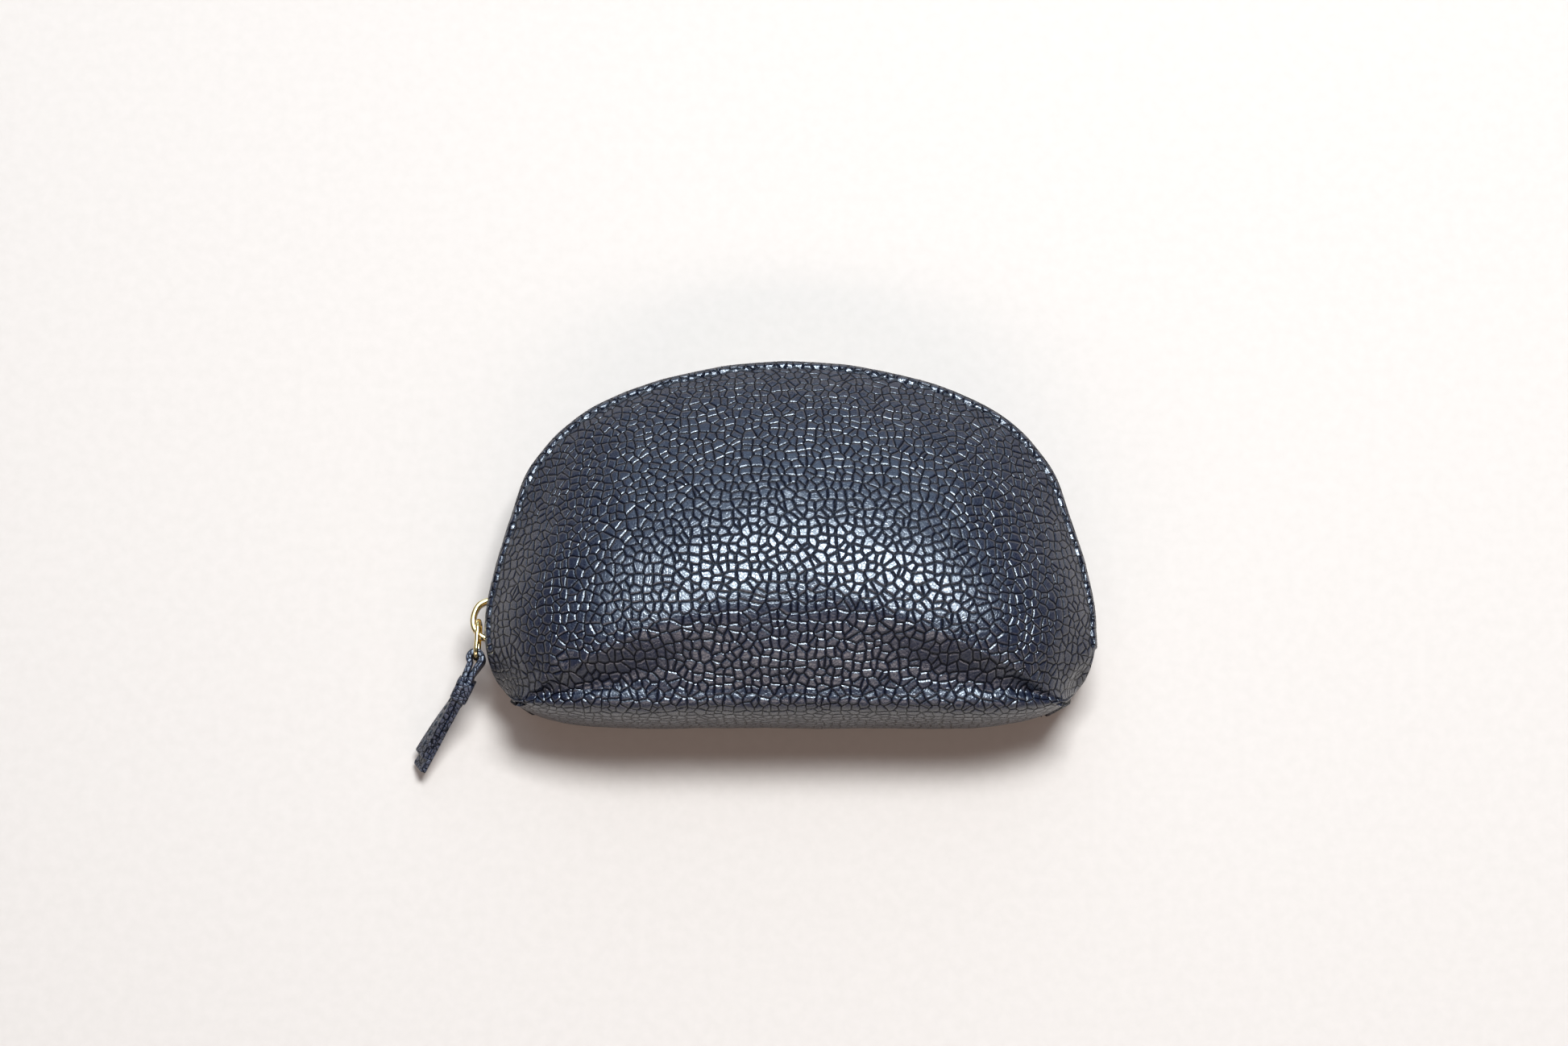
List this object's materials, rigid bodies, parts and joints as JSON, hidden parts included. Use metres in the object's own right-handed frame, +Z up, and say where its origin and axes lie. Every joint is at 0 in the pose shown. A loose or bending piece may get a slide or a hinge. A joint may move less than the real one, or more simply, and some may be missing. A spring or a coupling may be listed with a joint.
{
  "type": "coin purse",
  "caption": "Half-moon leather coin purse with a flat base, a zip round its arch and a leather strap pull on the slider's ring.",
  "frame": {"origin": "a point on the flat patch of the back panel that the purse lies on, on its plane of symmetry, 30 mm from the base line", "axes": "+X across the purse to the right, +Y from the base to the top of the arch, +Z up out of the front panel"},
  "size_m": [0.1577, 0.0952, 0.0465],
  "materials": {
    "leather": "pebbled, semi-gloss, black-navy",
    "strap_leather": "pebbled, semi-gloss, black-navy",
    "lining": "matt twill",
    "board": "matt",
    "tape": "matt woven",
    "teeth": "polished pale gold",
    "thread": "bonded thread",
    "gilt_metal": "polished pale gold"
  },
  "bodies": {
    "back": {"back_panel": "leather", "base_panel": "leather", "back_lining": "lining", "base_lining": "lining", "base_board": "board", "back_zip_tape": "tape", "back_zip_teeth": "teeth", "back_top_stop": "teeth", "bottom_stop": "teeth", "back_topstitch": "thread"},
    "front": {"front_panel": "leather", "front_lining": "lining", "front_zip_tape": "tape", "front_zip_teeth": "teeth", "front_top_stop": "teeth", "front_topstitch": "thread"},
    "slider": {"slider_body": "gilt_metal", "slider_crown": "gilt_metal"},
    "ring": {"pull_ring": "gilt_metal"},
    "strap": {"pull_strap": "strap_leather", "strap_keeper": "strap_leather"}
  },
  "joints": [
    {"name": "zip_run", "type": "hinge", "parent": "back", "child": "slider", "pos_m": [0, -0.019, 0.016], "axis": [0, 0, -1], "range_deg": [0, 164.5], "deforming": ["front_zip_tape", "back_zip_tape", "front_zip_teeth", "back_zip_teeth"]},
    {"name": "front_swing", "type": "hinge", "parent": "back", "child": "front", "pos_m": [0, -0.029, 0.0384], "axis": [1, 0, 0], "range_deg": [0, 28]},
    {"name": "ring_swing", "type": "hinge", "parent": "slider", "child": "ring", "pos_m": [-0.0711, -0.011, 0.016], "axis": [0, 0, -1], "range_deg": [0, 110]},
    {"name": "strap_swing", "type": "hinge", "parent": "ring", "child": "strap", "pos_m": [-0.07163, -0.01968, 0.016], "axis": [0, 0, -1], "range_deg": [-10, 45]}
  ],
  "couplings": [
    {"joint": "front_swing", "follows": "zip_run", "ratio": 0.17}
  ]
}
